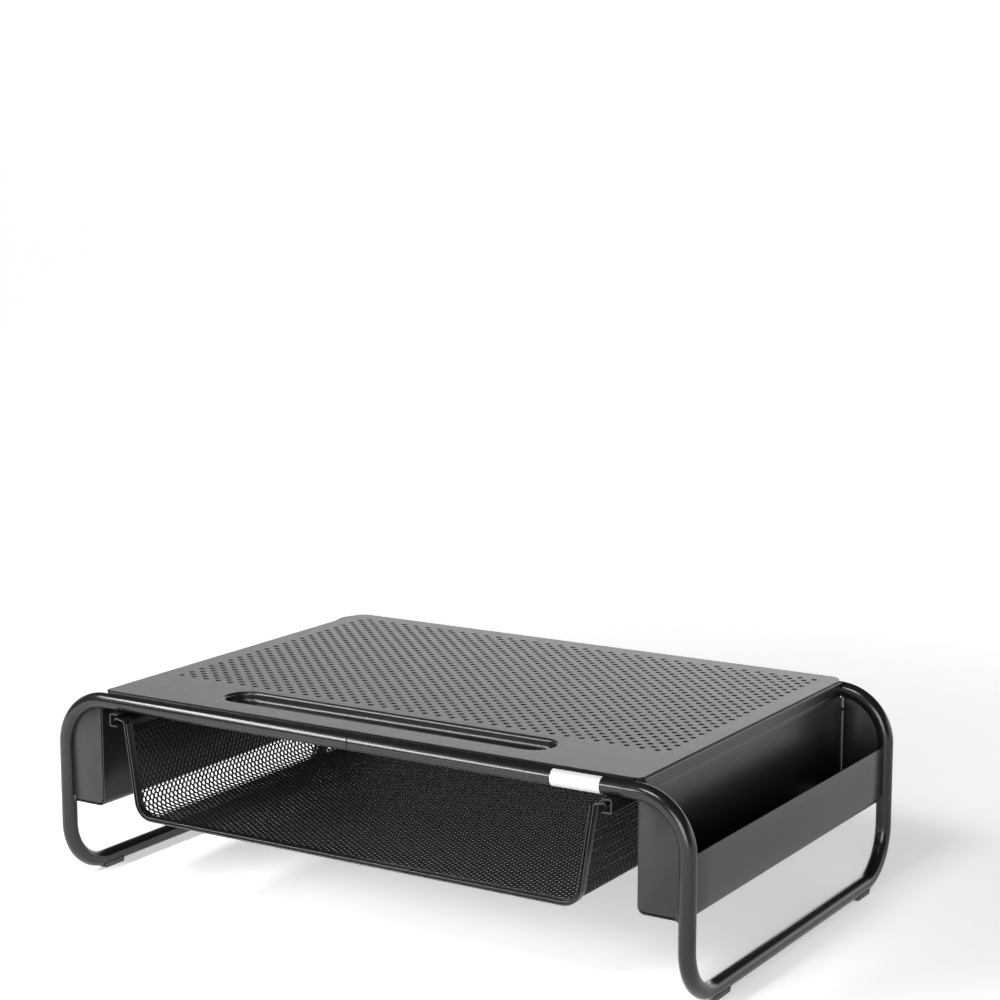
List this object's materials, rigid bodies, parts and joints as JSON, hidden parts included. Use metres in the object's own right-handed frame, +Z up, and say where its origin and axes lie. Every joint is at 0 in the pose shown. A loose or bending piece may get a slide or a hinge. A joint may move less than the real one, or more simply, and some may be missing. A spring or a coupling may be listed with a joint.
{
  "type": "monitor riser stand",
  "caption": "Bent-tube and sheet-steel monitor riser with a perforated top and pen tray, open side bins and a sliding expanded-mesh drawer for paper.",
  "frame": {"origin": "on the desk, under the middle of the stand's box with the drawer closed", "axes": "+X to the right seen from the front, +Y to the back, +Z up; the drawer slides out along -Y"},
  "size_m": [0.457, 0.288, 0.1294],
  "materials": {
    "tube_paint": "semi-gloss black powder coat with a fine orange peel",
    "sheet_paint": "satin black powder coat",
    "mesh_paint": "satin black paint on expanded steel mesh",
    "rim_paint": "semi-gloss black powder coat",
    "bare_steel": "mill finish",
    "foot_rubber": "matt moulded rubber",
    "label_vinyl": "blank satin vinyl"
  },
  "bodies": {
    "stand": {"left_frame_tube": "tube_paint", "right_frame_tube": "tube_paint", "front_tube_joiner": "bare_steel", "rear_tube_joiner": "bare_steel", "top_panel": "sheet_paint", "left_bin": "sheet_paint", "right_bin": "sheet_paint", "left_front_end_panel": "sheet_paint", "right_front_end_panel": "sheet_paint", "left_rear_end_panel": "sheet_paint", "right_rear_end_panel": "sheet_paint", "left_drawer_rail": "sheet_paint", "right_drawer_rail": "sheet_paint", "front_left_foot": "foot_rubber", "front_right_foot": "foot_rubber", "rear_left_foot": "foot_rubber", "rear_right_foot": "foot_rubber", "front_label": "label_vinyl"},
    "drawer": {"drawer_mesh_tub": "mesh_paint", "drawer_back_mesh": "mesh_paint", "drawer_front_rim": "rim_paint", "drawer_rear_rim": "rim_paint", "drawer_left_flange": "rim_paint", "drawer_right_flange": "rim_paint", "drawer_stop_tabs": "rim_paint"}
  },
  "joints": [
    {"name": "drawer_slide", "type": "slide", "parent": "stand", "child": "drawer", "axis": [0, -1, 0], "range_m": [0, 0.2]}
  ]
}
